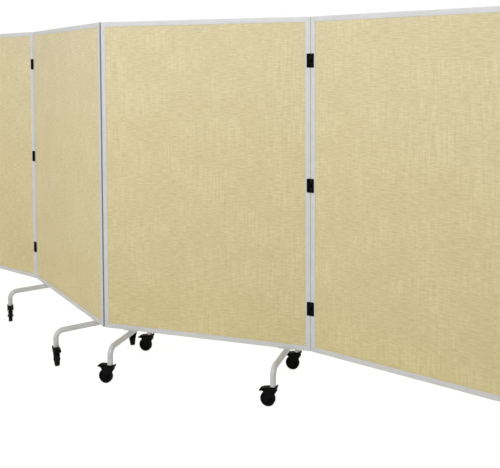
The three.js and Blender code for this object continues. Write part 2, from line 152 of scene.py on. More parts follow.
class FinishSettings(bpy.types.PropertyGroup):
    straw_light: colour("Light straw", "Raised threads of the fabric", (0.885, 0.800, 0.560))
    straw_deep: colour("Deep straw", "Sunken threads of the fabric", (0.515, 0.422, 0.218))
    # Painted shade and painted light: the fabric is tinted darker and warmer near the floor and left as it
    # is at the top, for the way the light falls.
    cloth_painted_shade_low: colour("Cloth painted shade", "Tint of the fabric near the floor", (0.950, 0.925, 0.785))
    cloth_painted_light_top: colour("Cloth painted light", "Tint of the fabric at the top", (1.0, 1.0, 1.0))
    silver: colour("Silver", "Paint of the panel frames", (0.586, 0.595, 0.600))
    # Painted shade: the stiles' outer webs at the middle fold take this darker grey for the shade in the
    # groove between them.
    painted_shade_silver: colour("Painted shade silver", "Outer web of the frame, out of the light", (0.27, 0.29, 0.30))
    tube_grey: colour("Tube grey", "Powder coat of the legs", (0.537, 0.545, 0.563))
    black: colour("Black", "Moulded and painted black", (0.0022, 0.0022, 0.0024))
    tread_black: colour("Tread black", "Rubber of the wheels", (0.0034, 0.0034, 0.0036))
    dust: colour("Dust", "Dust that lies on upward faces", (0.30, 0.28, 0.25))


class StageSettings(bpy.types.PropertyGroup):
    key_watts: measure("Key light", "Power of the key light", 205, "POWER")
    fill_watts: measure("Fill light", "Power of the fill light", 48, "POWER")
    rear_watts: measure("Rear light", "Power of the light behind", 164, "POWER")
    sky: measure("Sky", "Strength of the surrounding light", 0.40, "NONE")
    floor: colour("Floor", "Colour of the floor", (0.85, 0.82, 0.76))
    eye: FloatVectorProperty(
        name="Eye", description="Where the camera stands", default=(3.3673, -3.1691, 1.7615),
        subtype="XYZ", unit="LENGTH",
    )
    turn: FloatVectorProperty(
        name="Turn", description="Heading to the left of +y, tilt down and roll",
        default=(math.radians(37.228), math.radians(2.6), math.radians(-0.246)),
        subtype="EULER", unit="ROTATION",
    )
    lens: measure("Lens", "Focal length in millimetres", 53.35, "CAMERA")
    drop: measure("Drop", "How far the picture is shifted down, in picture widths", 0.26, "NONE")


SETTINGS = {
    "partition_panel": PanelSettings,
    "partition_hinge": HingeSettings,
    "partition_leg": LegSettings,
    "partition_caster": CasterSettings,
    "partition_finish": FinishSettings,
    "partition_stage": StageSettings,
}


# ---- Places ----


def unit(vectors):
    """A direction, or one in each row, made 1 long."""
    vectors = np.asarray(vectors, float)
    return vectors / np.linalg.norm(vectors, axis=-1, keepdims=True)


def around(count):
    """Angles evenly spaced round a full turn."""
    return np.arange(count) * 2 * math.pi / count


def node_points(node):
    """All vertices of a node of the frame, as an array of points."""
    mesh = frame["nodes"][node].data
    points = np.empty(len(mesh.vertices) * 3, np.float32)
    mesh.vertices.foreach_get("co", points)
    return points.reshape(-1, 3).astype(float)


def joint_point(name):
    return np.array(joints[name]["pos_m"], float)


def make_place(origin, x_axis, y_axis):
    """A place is a point and three directions at right angles, as the rows of a matrix."""
    return np.asarray(origin, float), np.stack([x_axis, y_axis, np.cross(x_axis, y_axis)])


def floor_place(point, along):
    """The place on the floor under a point, with x in the level direction of along."""
    x_axis = unit([along[0], along[1], 0.0])
    return make_place([point[0], point[1], 0.0], x_axis, np.cross([0.0, 0.0, 1.0], x_axis))


def put(points, place):
    """Carries points from a place's own axes to the frame's."""
    origin, axes = place
    return origin + points @ axes


def own_box(node, place):
    """Lowest and highest corner of a node along a place's own axes."""
    origin, axes = place
    points = (node_points(node) - origin) @ axes.T
    return points.min(0), points.max(0)


def panel_place(number):
    """A panel's place, under the middle of its board. Its width runs along the longest spread of
    the board's corners, seen from above."""
    points = node_points(f"board_{number}")
    middle = (points.min(0) + points.max(0)) / 2
    along = np.linalg.svd(points[:, :2] - middle[:2], full_matrices=False)[2][0]
    return floor_place(middle, along * np.sign(along[0]))


def caster_place(name):
    """A caster's place, under its swivel, with its wheel trailing towards -x."""
    swivel = joint_point(f"swivel_{name}")
    return floor_place(swivel, swivel - joint_point(f"roll_{name}"))


# ---- Surfaces ----
# A shape is a pair: an array of points, and a list of blocks of faces. A block is an array with a
# row of point numbers for each face.


def skin(rings, loop=False):
    """Quads between neighbouring rings of points. A ring closes on itself; loop joins the last ring
    to the first. The rings run anticlockwise about the direction in which they follow each other."""
    count, size = rings.shape[:2]
    ring, point = np.meshgrid(np.arange(count if loop else count - 1), np.arange(size), indexing="ij")
    after, beyond = (point + 1) % size, (ring + 1) % count
    corners = [ring * size + point, ring * size + after, beyond * size + after, beyond * size + point]
    return rings.reshape(-1, 3), [np.stack(corners, -1).reshape(-1, 4)]


def closed(rings):
    """The skin of the rings with a flat cap on the first and on the last."""
    points, blocks = skin(rings)
    first = np.arange(rings.shape[1])
    return points, blocks + [np.stack([first[::-1], first + len(points) - len(first)])]


def merge(*shapes):
    """Several shapes as one."""
    points, blocks, first = [], [], 0
    for shape_points, shape_blocks in shapes:
        points.append(shape_points)
        blocks += [first + block for block in shape_blocks]
        first += len(shape_points)
    return np.concatenate(points), blocks


def moved(shape, offset):
    return shape[0] + np.asarray(offset, float), shape[1]


def turned(shape, x_axis, y_axis):
    """A shape turned so that its x and y lie along the two given directions."""
    return shape[0] @ np.stack([x_axis, y_axis, np.cross(x_axis, y_axis)]), shape[1]


def on_side(shape, y=0.0, outwards=-1):
    """A shape that stands on z = 0, laid against a side at y with its top pointing outwards (1 or -1)."""
    return moved(turned(shape, (1, 0, 0), (0, 0, -outwards)), (0, y, 0))


def spun(shape, angles, about=(0.0, 0.0)):
    """Copies of a shape turned about the y direction through the point (x, z), one for each angle."""
    points, blocks = shape
    centre = np.array([about[0], 0.0, about[1]])
    cos, sin, zero = np.cos(angles), np.sin(angles), 0 * angles
    turns = np.array([[cos, zero, -sin], [zero, zero + 1, zero], [sin, zero, cos]]).transpose(2, 0, 1)
    return merge(*[(copy, blocks) for copy in (points - centre) @ turns + centre])


def rounded(corners, steps=5):
    """A closed outline through (a, b, reach) corners. A corner with a reach above 0 becomes a curve
    that starts and ends that far from it: (1-t)^2 A + 2t(1-t) B + t^2 C between its two ends."""
    corners = np.asarray(corners, float)
    middle, reach = corners[:, :2], np.maximum(corners[:, 2:], HAIR / 10)
    start = middle + unit(np.roll(middle, 1, 0) - middle) * reach
    end = middle + unit(np.roll(middle, -1, 0) - middle) * reach
    t = np.linspace(0, 1, steps)[:, None]
    curve = (1 - t) ** 2 * start[:, None] + 2 * t * (1 - t) * middle[:, None] + t**2 * end[:, None]
    points = curve.reshape(-1, 2)
    return points[np.linalg.norm(points - np.roll(points, 1, 0), axis=1) > HAIR]


def oblong(low, high, reach=0.0):
    """The outline of a rectangle between two corners, its own corners rounded."""
    (left, bottom), (right, top) = low, high
    corners = [(left, bottom), (right, bottom), (right, top), (left, top)]
    return rounded([(*corner, reach) for corner in corners])


def inset(outline, depth):
    """An anticlockwise outline moved inwards by depth, each corner along the bisector of its sides."""
    side = unit(outline - np.roll(outline, 1, 0))
    normal = np.column_stack([-side[:, 1], side[:, 0]])
    bisector = normal + np.roll(normal, -1, 0)
    return outline + bisector / np.maximum((bisector**2).sum(1, keepdims=True) / 2, 0.35) * depth


def plate(outline, low, high, edge, steps=3):
    """An outline in x and y carried along z, its two rims rounded: a rim's ring at angle t lies
    edge (1 - sin t) inside the outline and edge (1 - cos t) from the face."""
    t = np.linspace(0, math.pi / 2, steps + 1)
    depths, rises = edge * (1 - np.sin(t)), edge * (1 - np.cos(t))
    rim = np.array([np.column_stack([inset(outline, depth), np.full(len(outline), rise)])
                    for depth, rise in zip(depths, rises)])
    return closed(np.concatenate([rim + [0, 0, low], (rim * [1, 1, -1] + [0, 0, high])[::-1]]))


def slab(outline, low, high, edge, steps=3):
    """A plate whose outline lies in x and z and which is carried along y."""
    return on_side(plate(outline, -high, -low, edge, steps))


def slab_pair(outline, inside, outside, edge):
    """The same slab on both sides of y = 0."""
    return [slab(outline, inside, outside, edge), slab(outline, -outside, -inside, edge)]


def lathe(profile, sides=40, bored=False):
    """A profile of (radius, height) pairs turned about z. It runs from the bottom up and is capped
    flat, or is bored and closes on itself."""
    radius, height = np.hsplit(np.asarray(profile, float), 2)
    angle = around(sides)
    rings = np.stack([radius * np.cos(angle), radius * np.sin(angle), height + 0 * angle], -1)
    return skin(rings, loop=True) if bored else closed(rings)


def arc(radius, centre, start, stop, steps=6):
    """Points of an arc about a centre, its angles in degrees."""
    angle = np.radians(np.linspace(start, stop, steps))
    return np.column_stack([centre[0] + radius * np.cos(angle), centre[1] + radius * np.sin(angle)])


def screw_head(radius, dome=0.16, rings=8, sides=32):
    """A flat-domed head whose recess is a cross. On a polar grid the height is a dome less a step
    wherever the nearer of |x| and |y| is under the cross's arm and the farther under its reach."""
    arm, reach, recess, skirt = 0.17 * radius, 0.62 * radius, 0.85, 0.25 * radius
    share, angle = np.linspace(0.04, 1, rings)[:, None], around(sides)
    x, y = radius * share * np.cos(angle), radius * share * np.sin(angle)
    inside = (np.minimum(abs(x), abs(y)) < arm) & (np.maximum(abs(x), abs(y)) < reach)
    z = dome * radius * ((1.05 - share**2) * (1 - recess * inside))
    rim = np.stack([x[-1:], y[-1:], 0 * x[-1:] - skirt], -1)
    return closed(np.concatenate([np.stack([x, y, z], -1), rim])[::-1])


# ---- Objects ----


materials = {}


def add_object(name, data):
    made = bpy.data.objects.new(name, data)
    bpy.context.scene.collection.objects.link(made)
    return made


def piece(name, shape, place, body, finish, nodes=(), cloth_map=None, web=None):
    """Makes the object of a shape, puts it in its place, and ties it to its body and nodes. A finish
    names both a slot and a material. The cloth map is the fabric's own UV, and web marks the
    points of a channel's outer web that take painted shade."""
    points, blocks = shape
    mesh = bpy.data.meshes.new(name)
    faces = [face for block in blocks for face in block.tolist()]
    mesh.from_pydata(put(points, place).tolist(), [], faces)
    mesh.validate()
    mesh.shade_smooth()
    mesh.set_sharp_from_angle(angle=SHARP)
    if cloth_map is not None:
        corners = np.empty(len(mesh.loops), int)
        mesh.loops.foreach_get("vertex_index", corners)
        mesh.uv_layers.new(name="cloth").data.foreach_set("uv", cloth_map[corners].ravel())
    if web is not None:
        mesh.attributes.new("web", "FLOAT", "POINT").data.foreach_set("value", web)
    mesh.materials.append(materials[finish])
    made = add_object(name, mesh)
    if nodes:
        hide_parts(*nodes)
    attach(made, body)


# ---- Materials ----


def rgba(value):
    return (*value, 1.0)


def feed(node, inputs):
    """Sets a node's inputs, each from a number, a colour or the output socket that feeds it."""
    for key, value in inputs.items():
        if isinstance(value, bpy.types.NodeSocket):
            node.id_data.links.new(value, node.inputs[key])
        else:
            node.inputs[key].default_value = value


def put_node(tree, kind, inputs=None, **settings):
    """Adds a node with its own settings, then sets its inputs."""
    made = tree.nodes.new(kind)
    for name, value in settings.items():
        setattr(made, name, value)
    feed(made, inputs or {})
    return made


def maths(tree, operation, first, second=0.0, third=0.0):
    inputs = {0: first, 1: second, 2: third}
    return put_node(tree, "ShaderNodeMath", inputs, operation=operation).outputs[0]


def spread(tree, value, low, high, to_low=0.0, to_high=1.0):
    """Maps low..high to to_low..to_high, clamped."""
    inputs = {"Value": value, "From Min": low, "From Max": high, "To Min": to_low, "To Max": to_high}
    return put_node(tree, "ShaderNodeMapRange", inputs).outputs["Result"]


def mixed(tree, factor, first, second, blend="MIX"):
    """Two colours mixed. A Mix node holds its two colours at 6 and 7 and gives a colour at 2."""
    inputs = {0: factor, 6: first, 7: second}
    return put_node(tree, "ShaderNodeMix", inputs, data_type="RGBA", blend_type=blend).outputs[2]


def noise(tree, vector, scale, detail, roughness=0.5):
    inputs = {"Vector": vector, "Scale": scale, "Detail": detail, "Roughness": roughness}
    return put_node(tree, "ShaderNodeTexNoise", inputs).outputs["Fac"]


def streaks(tree, vector, across, up, detail=2.0, low=0.3):
    """Noise on a vector whose parts are scaled apart, so that its blots become streaks, with low
    and 1 - low of it spread to 0 and 1."""
    wide = put_node(tree, "ShaderNodeVectorMath", {0: vector, 1: (across, up, 1.0)}, operation="MULTIPLY")
    return spread(tree, noise(tree, wide.outputs[0], 1.0, detail, 0.55), low, 1 - low)


def relief(tree, height, distance, strength):
    """The surface's normal, bent by a height."""
    inputs = {"Height": height, "Distance": distance, "Strength": strength}
    return put_node(tree, "ShaderNodeBump", inputs).outputs["Normal"]


def object_place(tree):
    return put_node(tree, "ShaderNodeTexCoord").outputs["Object"]


def height_of(tree, vector):
    return put_node(tree, "ShaderNodeSeparateXYZ", {0: vector}).outputs["Z"]


def new_group(name, **inputs):
    """A node group and its inputs, each of its default's kind: a number, a vector or a colour."""
    tree = bpy.data.node_groups.new(name, "ShaderNodeTree")
    kinds = {1: "NodeSocketFloat", 3: "NodeSocketVector", 4: "NodeSocketColor"}
    for socket, default in inputs.items():
        made = tree.interface.new_socket(socket, in_out="INPUT", socket_type=kinds[np.size(default)])
        made.default_value = default
    return tree, put_node(tree, "NodeGroupInput").outputs


def give(tree, **results):
    """Puts results out of a group, each through a socket of its own kind."""
    for name, result in results.items():
        kind = "NodeSocketColor" if result.type == "RGBA" else "NodeSocketFloat"
        tree.interface.new_socket(name, in_out="OUTPUT", socket_type=kind)
    put_node(tree, "NodeGroupOutput", results)
    return tree


def grain_group():
    """Fine orange peel for paint and moulded skin, and a slow mottle for its gloss."""
    tree, given = new_group("grain", Peel=900.0, Mottle=18.0)
    place = object_place(tree)
    mottle = spread(tree, noise(tree, place, given["Mottle"], 4.0), 0.3, 0.7)
    return give(tree, Height=noise(tree, place, given["Peel"], 3.0), Mask=mottle)


def dust_group():
    """Colour with dust where the surface faces up: the normal's height times a patchy noise."""
    tree, given = new_group("dust", Colour=rgba((0.5, 0.5, 0.5)), Dust=rgba((0.3, 0.3, 0.3)), Amount=0.1)
    normal = put_node(tree, "ShaderNodeNewGeometry").outputs["Normal"]
    upward = spread(tree, height_of(tree, normal), 0.35, 0.95)
    patches = spread(tree, noise(tree, object_place(tree), 130.0, 5.0), 0.35, 0.7)
    mask = maths(tree, "MULTIPLY", maths(tree, "MULTIPLY", upward, patches), given["Amount"])
    return give(tree, Colour=mixed(tree, mask, given["Colour"], given["Dust"]), Mask=mask)


def weave_group():
    """Slubby plain weave on a map in metres: thick and thin weft threads as long level streaks, a
    fainter warp in patches, and single threads as the product of two sines."""
    tree, given = new_group(
        "slubby weave", Map=(0, 0, 0), Light=rgba((0.7, 0.6, 0.4)), Deep=rgba((0.6, 0.5, 0.3)), Pitch=0.0022
    )
    cloth = given["Map"]
    slubs = streaks(tree, cloth, 19.0, 150.0, 3.0)
    dashes = streaks(tree, cloth, 48.0, 270.0)
    warp = streaks(tree, cloth, 100.0, 5.5, 3.0)
    fine = streaks(tree, cloth, 300.0, 620.0, 3.0)
    patch = streaks(tree, cloth, 4.0, 5.0, low=0.40)
    parts = put_node(tree, "ShaderNodeSeparateXYZ", {0: cloth}).outputs
    turns = maths(tree, "DIVIDE", 2 * math.pi, given["Pitch"])
    across, up = (maths(tree, "SINE", maths(tree, "MULTIPLY", parts[axis], turns)) for axis in "XY")
    knots = maths(tree, "MULTIPLY", across, up)
    tone = 0.06
    for threads, share in ((slubs, 0.32), (dashes, 0.22), (maths(tree, "MULTIPLY", warp, patch), 0.26),
                           (fine, 0.26), (patch, -0.07), (knots, 0.20)):
        tone = maths(tree, "MULTIPLY_ADD", threads, share, tone)
    return give(
        tree,
        Colour=mixed(tree, tone, given["Deep"], given["Light"]),
        Height=maths(tree, "MULTIPLY_ADD", knots, 0.6, maths(tree, "MULTIPLY", tone, 1.2)),
        Roughness=spread(tree, tone, 0.2, 0.8, 0.98, 0.86),
    )


def new_material(name):
    made = bpy.data.materials.new(name)
    made.use_nodes = True
    tree = made.node_tree
    tree.nodes.clear()
    surface = put_node(tree, "ShaderNodeBsdfPrincipled")
    put_node(tree, "ShaderNodeOutputMaterial", {"Surface": surface.outputs[0]})
    return made, tree, surface


def coated(name, groups, finish, base, peel, bump, gloss, dust=0.01, metal=0.0, specular=0.5, painted_web_shade=None):
    """A painted, moulded or rubber surface: grain for its skin, gloss as (low, high), dust on top.
    The painted web shade colour, if any, is painted shade laid on the points marked as a web."""
    made, tree, surface = new_material(name)
    grain = put_node(tree, "ShaderNodeGroup", {"Peel": peel}, node_tree=groups["grain"]).outputs
    paint = mixed(tree, grain["Mask"], rgba([0.93 * part for part in base]), rgba(base))
    if painted_web_shade:
        # Painted shade: the points marked as a web take the darker colour.
        web = put_node(tree, "ShaderNodeAttribute", attribute_name="web").outputs["Fac"]
        paint = mixed(tree, web, paint, rgba(painted_web_shade))
    inputs = {"Colour": paint, "Dust": rgba(finish.dust), "Amount": dust}
    dusty = put_node(tree, "ShaderNodeGroup", inputs, node_tree=groups["dust"]).outputs
    rough = maths(tree, "ADD", spread(tree, grain["Mask"], 0.0, 1.0, *gloss), dusty["Mask"])
    feed(surface, {"Base Color": dusty["Colour"], "Roughness": rough, "Metallic": metal,
                   "Specular IOR Level": specular, "Normal": relief(tree, grain["Height"], 0.0002, bump)})
    return made


def straw_fabric(groups, finish):
    """The weave on the cloth map, tinted from the floor up to the top with painted shade, darker and warmer
    low down.
    """
    made, tree, surface = new_material("straw fabric")
    inputs = {"Map": put_node(tree, "ShaderNodeUVMap", uv_map="cloth").outputs["UV"],
              "Light": rgba(finish.straw_light), "Deep": rgba(finish.straw_deep)}
    weave = put_node(tree, "ShaderNodeGroup", inputs, node_tree=groups["weave"]).outputs
    # Painted shade: the weave's colour is multiplied by a tint that grows darker and warmer towards the
    # floor.
    rise = spread(tree, height_of(tree, object_place(tree)), 0.2, 2.05)
    painted_shade_tint = mixed(tree, rise, rgba(finish.cloth_painted_shade_low), rgba(finish.cloth_painted_light_top))
    feed(surface, {"Base Color": mixed(tree, 1.0, weave["Colour"], painted_shade_tint, "MULTIPLY"),
                   "Roughness": weave["Roughness"], "Specular IOR Level": 0.25, "Sheen Weight": 0.12,
                   "Sheen Roughness": 0.5, "Normal": relief(tree, weave["Height"], 0.0006, 0.55)})
    return made


def make_materials(finish):
    """All materials by slot."""
    groups = {"grain": grain_group(), "dust": dust_group(), "weave": weave_group()}
    return {
        "fabric": straw_fabric(groups, finish),
        "frame_metal": coated("silver paint", groups, finish, finish.silver, peel=1300.0, bump=0.10,
                              gloss=(0.50, 0.62), dust=0.10, metal=0.10, painted_web_shade=finish.painted_shade_silver),
        "leg_tube": coated("grey powder coat", groups, finish, finish.tube_grey, peel=1500.0, bump=0.18,
                           gloss=(0.40, 0.50), dust=0.10, metal=0.05),
        "hinge_black": coated("black hinge paint", groups, finish, finish.black, peel=1100.0, bump=0.15,
                              gloss=(0.36, 0.48), specular=0.03),
        "caster_black": coated("black moulding", groups, finish, finish.black, peel=1400.0, bump=0.25,
                               gloss=(0.46, 0.60), specular=0.055),
        "tread": coated("black tread", groups, finish, finish.tread_black, peel=1800.0, bump=0.30,
                        gloss=(0.70, 0.85), dust=0.02, specular=0.10),
    }


# ---- Panels ----


def slub_relief(width, height, sizes, seed):
    """Height of the fabric over its board: long low ridges, each a bell across its thread and a
    squared cosine along it, on a face that swells a little between its edges."""
    random = np.random.default_rng(seed)

    def draw(low, high):
        return random.uniform(low, high, (sizes.slub_count, 1, 1))

    columns, rows = BOARD_GRID
    x = np.linspace(-width / 2, width / 2, columns)
    z = np.linspace(-height / 2, height / 2, rows)[:, None]
    middle_x, middle_z = draw(-width / 2, width / 2), draw(-height / 2, height / 2)
    reach, thick, tall = draw(0.03, 0.16), draw(0.004, 0.008), draw(0.3, 1.0) * sizes.slub_height
    along = np.cos(np.clip((x - middle_x) / reach, -1, 1) * math.pi / 2) ** 2
    ridges = (tall * along * np.exp(-(((z - middle_z) / thick) ** 2))).sum(0)
    swell = (1 - (2 * x / width) ** 6) * (1 - (2 * z / height) ** 6) * sizes.crown
    return swell + np.minimum(ridges, sizes.slub_height)


def board_shape(low, high, sizes, seed):
    """Two fabric faces on one grid, joined round the edge. Returns the shape and its cloth map, which
    starts elsewhere on each face of each board."""
    columns, rows = BOARD_GRID
    width, _, height = high - low
    x, z = np.meshgrid(np.linspace(low[0], high[0], columns), np.linspace(low[2], high[2], rows))
    front = np.stack([x, low[1] - slub_relief(width, height, sizes, seed), z], -1)
    back = np.stack([x, high[1] + slub_relief(width, height, sizes, seed + 50), z], -1)
    count = columns * rows
    number = np.arange(count).reshape(rows, columns)
    quads = np.stack([number[:-1, :-1], number[:-1, 1:], number[1:, 1:], number[1:, :-1]], -1).reshape(-1, 4)
    loop = np.concatenate([number[0, :-1], number[:-1, -1], number[-1, :0:-1], number[:0:-1, 0]])
    after = np.roll(loop, -1)
    edge = np.stack([after, loop, loop + count, after + count], -1)
    flat = np.stack([x, z], -1).reshape(-1, 2)
    cloth_map = np.concatenate([flat, flat + [3.1, 0.4]]) + [seed * 1.7, seed * 0.9]
    return (np.stack([front, back]).reshape(-1, 3), [quads, quads[:, ::-1] + count, edge]), cloth_map


def channel(reach, depth, sizes):
    """A length of channel along x with its web below. Its section is numbered through the depth and
    inwards from the edge. Each point of an end lies as far in as it is from the outer edge, which
    mitres the end."""
    face, web, lip = sizes.face_width, sizes.web_wall, sizes.lip_wall
    edge, tip, half = sizes.edge_round, sizes.lip_round, depth / 2
    through, inwards = rounded([
        (-half, 0, edge), (half, 0, edge), (half, face, tip), (half - lip, face, tip),
        (half - lip, web, 0), (-half + lip, web, 0), (-half + lip, face, tip), (-half, face, tip),
    ]).T
    end = reach / 2 - inwards - sizes.mitre_gap
    return closed(np.array([np.column_stack([side * end, through, inwards])[::-1] for side in (-1, 1)]))


def painted_shade_mask(shape):
    """1 on the flat of a channel's web, as it lies along x: the points that take painted shade."""
    across, rise = abs(shape[0][:, 1]), shape[0][:, 2]
    return ((rise < HAIR) & (across < across.max() - HAIR)).astype(float)


def corner_screws(low, high, sizes):
    """Two screws at each corner, in the outer web of the stile."""
    head = screw_head(sizes.screw_radius, 0.10)
    near, far = 0.009, 0.045  # from the end of the stile
    heights = [high[2] - near, high[2] - far, low[2] + near, low[2] + far]
    return [moved(turned(head, (0, outwards, 0), (0, 0, 1)), (x, 0, z))
            for outwards, x in ((-1, low[0]), (1, high[0])) for z in heights]


def make_panel(number, sizes):
    """The board, its frame of two stiles and a bottom rail, the top rail, and the corner screws. The
    two stiles that meet at the middle fold have their webs marked for painted shade, the shade of the groove
    between them."""
    place, body = panel_place(number), f"panel_{number}"
    low, high = own_box(f"frame_{number}", place)
    board, cloth_map = board_shape(*own_box(f"board_{number}", place), sizes, number)
    piece(f"fabric_board_{number}", board, place, body, "fabric", [f"board_{number}"], cloth_map=cloth_map)
    width, depth, height = high - low
    flat, upright = channel(width, depth, sizes), channel(height, depth, sizes)
    middle, mask = (low[2] + high[2]) / 2, painted_shade_mask(upright)
    left = moved(turned(upright, (0, 0, -1), (0, 1, 0)), (low[0], 0, middle))
    right = moved(turned(upright, (0, 0, 1), (0, 1, 0)), (high[0], 0, middle))
    bottom = moved(flat, (0, 0, low[2]))
    # Painted shade: only the two webs at the middle fold are marked, for the shade in the groove between
    # them.
    web = np.concatenate([mask * (number == 3), mask * (number == 2), 0 * mask])
    piece(f"channel_frame_{number}", merge(left, right, bottom), place, body, "frame_metal",
          [f"frame_{number}"], web=web)
    screws = corner_screws(low, high, sizes)
    piece(f"corner_screws_{number}", merge(*screws), place, body, "leg_tube")
    top = moved(turned(flat, (-1, 0, 0), (0, 1, 0)), (0, 0, high[2]))
    piece(f"channel_top_{number}", top, place, body, "frame_metal", [f"top_rail_{number}"])


# ---- Hinges ----


def leaf_shape(reach, half, meet, radius, owns_middle, sizes):
    """A leaf in x and z from the pin outwards, cut back where the other leaf's knuckles turn."""
    clear, gap, turn = radius + 0.0006, sizes.knuckle_gap, sizes.corner_round
    step = meet - gap if owns_middle else meet + gap
    outer, inner = (clear, 0.0) if owns_middle else (0.0, clear)
    outline = rounded([
        (outer, -half, 0), (reach, -half, turn), (reach, half, turn), (outer, half, 0),
        (outer, step, 0), (inner, step, 0), (inner, -step, 0), (outer, -step, 0),
    ])
    return slab(outline, radius - sizes.leaf_thickness, radius, sizes.edge_round)


def knuckle(radius, low, high, chamfer=0.0003):
    """A barrel with a small chamfer at both ends."""
    return lathe([(radius - chamfer, low), (radius, low + chamfer), (radius, high - chamfer),
                  (radius - chamfer, high)])


def pin_head(radius, base, sign, dome=0.0018):
    """The domed end of the pin, over its base with sign 1 and under it with -1."""
    t = np.linspace(0, 1.4, 6)
    return lathe(np.column_stack([radius * np.cos(t), base + sign * dome * np.sin(t)])[::sign], 24)


def make_hinge_leaf(fold, level, kind, panel, inwards, on_back, sizes):
    """A leaf with its knuckles and three screws. The pin leaf has the outer knuckles and the pin."""
    node = f"hinge_{fold}_{level}_{kind}"
    low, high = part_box(node)
    pin = joint_point(f"{fold}_fold")
    pin[2] = (low[2] + high[2]) / 2
    axes = panel_place(panel)[1]
    place = make_place(pin, inwards * axes[0], -axes[1] if on_back else axes[1])
    reach, radius, _ = own_box(node, place)[1]
    half = own_box(f"hinge_{fold}_{level}_socket_leaf", place)[1][2]
    meet, gap, owns_middle = half / 3, sizes.knuckle_gap, kind == "socket_leaf"
    parts = [leaf_shape(reach, half, meet, radius, owns_middle, sizes)]
    if owns_middle:
        parts.append(knuckle(radius, -meet + gap, meet - gap))
    else:
        parts += [knuckle(radius, meet + gap, half), knuckle(radius, -half, -meet - gap)]
        parts += [pin_head(sizes.pin_radius, sign * half, sign) for sign in (1, -1)]
    head = on_side(screw_head(sizes.screw_radius), radius - sizes.leaf_thickness + SLIVER)
    across, spacing = (radius + reach) / 2 + 0.0008, 0.72 * half
    parts += [moved(head, (across, 0, z)) for z in (-spacing, 0, spacing)]
    piece(f"leaf_{fold}_{level}_{kind}", merge(*parts), place, f"panel_{panel}", "hinge_black", [node])


# ---- Legs ----


def leg_path(reach, foot, top, bend, steps=14):
    """Middle line of a leg: up the front, round a quarter turn, across, round another, and down."""
    turn = np.linspace(0, math.pi / 2, steps)
    rise = np.column_stack([0 * turn, bend * (1 - np.cos(turn)) - reach, top - bend + bend * np.sin(turn)])
    front = np.concatenate([[(0, -reach, foot)], rise])
    return np.concatenate([front, [(0, 0, top)], front[::-1] * [1, -1, 1]])


def tube(path, radius, sides=36):
    """A round section carried along a path in the plane x = 0. A ring stands square to the mean of
    the path's directions before and after its point."""
    along = unit(np.diff(path, axis=0))
    mean = unit(np.concatenate([along[:1], along[:-1] + along[1:], along[-1:]]))
    side = np.array([1.0, 0.0, 0.0])
    angle = around(sides)[None, :, None]
    return path[:, None] + radius * (np.cos(angle) * side + np.sin(angle) * np.cross(mean, side)[:, None])


def open_tube(path, radius, wall, rim=0.0005):
    """A tube with its bore, joined at both ends by a rim with a small chamfer."""
    outer, inner, ends = tube(path, radius), tube(path, radius - wall), tube(path, radius - rim)
    outer[0] += unit(path[1] - path[0]) * rim
    outer[-1] += unit(path[-2] - path[-1]) * rim
    return skin(np.concatenate([ends[:1], outer, ends[-1:], inner[::-1]]), loop=True)


def weld_bead(length, radius, x, z, ripple=0.0022):
    """A bead along y with ripples: its radius swells by a tenth as it goes, and it tapers at its ends."""
    y = np.linspace(-length / 2, length / 2, 40)[:, None]
    swell = radius * (1 + 0.10 * np.cos(y * 2 * math.pi / ripple)) * np.sqrt(1 - (2 * y / length) ** 4 * 0.8)
    angle = around(12)
    return closed(np.stack([x + swell * np.sin(angle), y + 0 * angle, z + swell * np.cos(angle)], -1))


def make_leg(name, panel, sizes):
    """The bent tube with its saddle and weld beads, the plugs in its ends, and the saddle's screws."""
    front, back = (joint_point(f"swivel_{name}_{end}") for end in ENDS)
    place, body = floor_place((front + back) / 2, panel_place(panel)[1][0]), f"panel_{panel}"
    low, high = own_box(f"leg_{name}", place)
    radius, top = sizes.tube_radius, high[2]
    under = top - sizes.saddle_plate
    ridge = under - radius + 2 * SLIVER
    reach = np.linalg.norm(back - front) / 2
    path = leg_path(reach, low[2], ridge, sizes.bend_radius)
    half, deep = sizes.saddle_length / 2, (high[1] + low[1]) / 2 + 0.008
    saddle = plate(oblong((-half, -deep), (half, deep), 0.004), under, top, 0.0006)
    side, height = 0.0065, ridge + radius - 0.0014
    beads = [weld_bead(2 * deep, sizes.bead_radius, x, height) for x in (-side, side)]
    piece(f"bent_leg_{name}", merge(open_tube(path, radius, sizes.tube_wall), saddle, *beads), place,
          body, "leg_tube", [f"leg_{name}"])
    bore, outside = 0.006, radius - sizes.tube_wall - SLIVER
    foot, depth = low[2] + 0.0003, low[2] + 0.03
    plug = lathe([(bore, foot), (outside, foot), (outside, depth), (bore, depth)], 36, bored=True)
    plugs = [moved(plug, (0, y, 0)) for y in (-reach, reach)]
    piece(f"leg_plugs_{name}", merge(*plugs), place, body, "caster_black")
    screw, apart = turned(screw_head(sizes.screw_radius), (1, 0, 0), (0, -1, 0)), 0.036
    screws = [moved(screw, (x, 0, under - SLIVER)) for x in (-apart, apart)]
    piece(f"saddle_screws_{name}", merge(*screws), place, body, "frame_metal")


# ---- Casters ----


def wheel_shape(sizes, trail):
    """The wheel about its axle: tread with round shoulders, recessed web, hub, and ribs between."""
    radius, half, turn = sizes.wheel_radius, sizes.wheel_width / 2, sizes.tread_round
    bore, hub, web, rim = sizes.bore_radius, sizes.hub_radius, 0.005, radius - 0.009
    soft, sharp = 0.0008, 0.0005
    side = np.concatenate([
        [(bore, half - sharp), (bore + sharp, half), (hub - soft, half), (hub, half - soft),
         (hub + soft, web), (rim - soft, web), (rim + 0.0006, half - soft), (rim + 0.0014, half)],
        arc(turn, (radius - turn, half - turn), 90, 0, 7),
    ])
    wheel = on_side(lathe(np.concatenate([(side * [1, -1])[::-1], side]), 72, bored=True))
    rib = oblong((hub - 0.001, -0.001), (rim + 0.001, 0.001))
    ribs = [spun(slab(rib, low, high, 0.0003, 1), around(sizes.ribs))
            for low, high in ((0.0025 - half, 0.0005 - web), (web - 0.0005, half - 0.0025))]
    return moved(merge(wheel, *ribs), (-trail, 0, radius))


